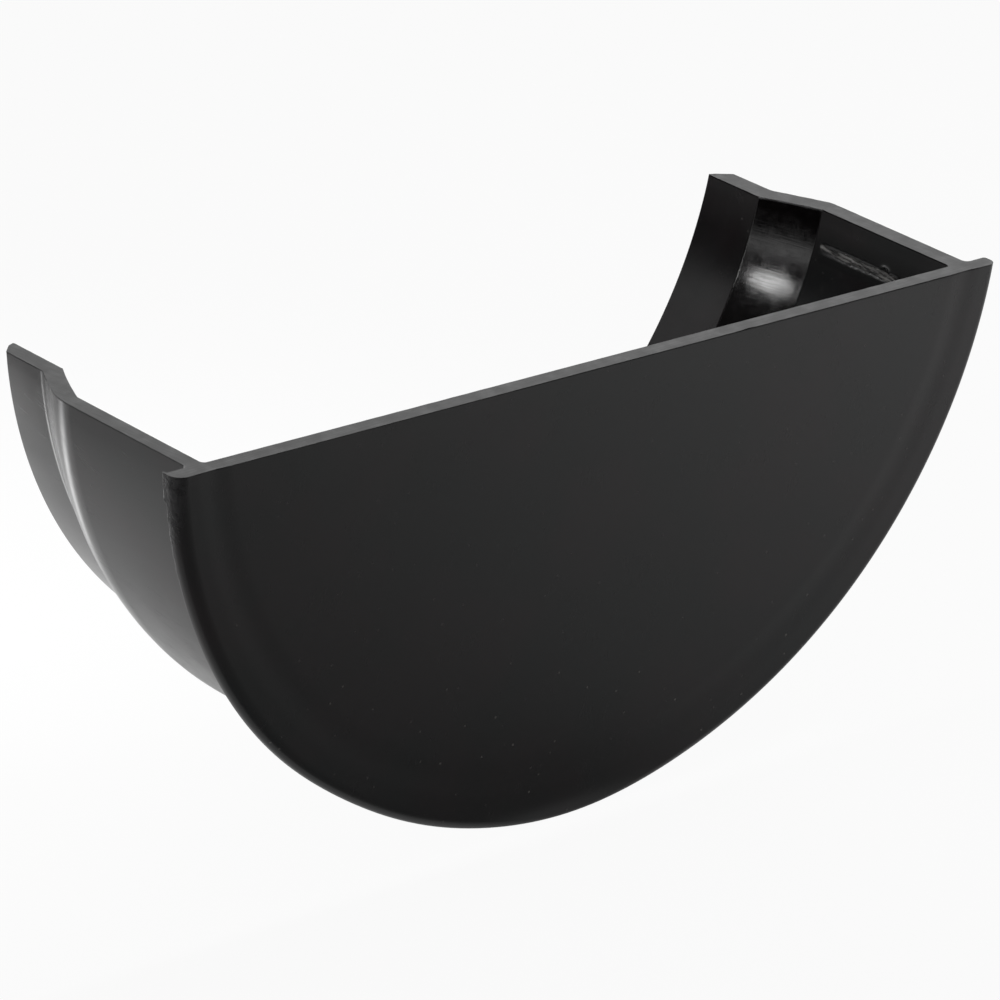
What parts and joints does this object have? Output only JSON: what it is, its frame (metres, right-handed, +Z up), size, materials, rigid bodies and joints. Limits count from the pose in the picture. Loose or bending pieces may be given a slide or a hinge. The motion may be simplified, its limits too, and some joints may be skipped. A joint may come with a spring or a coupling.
{
  "type": "gutter end cap",
  "caption": "Black half-round gutter end cap: a flat end plate with a curved collar behind it that steps in to a spigot for the gutter's end.",
  "frame": {"origin": "middle of the level top edges, in the plane of the collar's shoulder, where the gutter's cut end stops", "axes": "+Y along the gutter, away from the end plate and into the gutter; +X across the gutter, towards the right seen from outside the end; +Z up"},
  "size_m": [0.118, 0.0374, 0.0528],
  "materials": {
    "black_pvc": "satin, as moulded"
  },
  "bodies": {
    "root": {"end_cap": "black_pvc"}
  },
  "joints": []
}
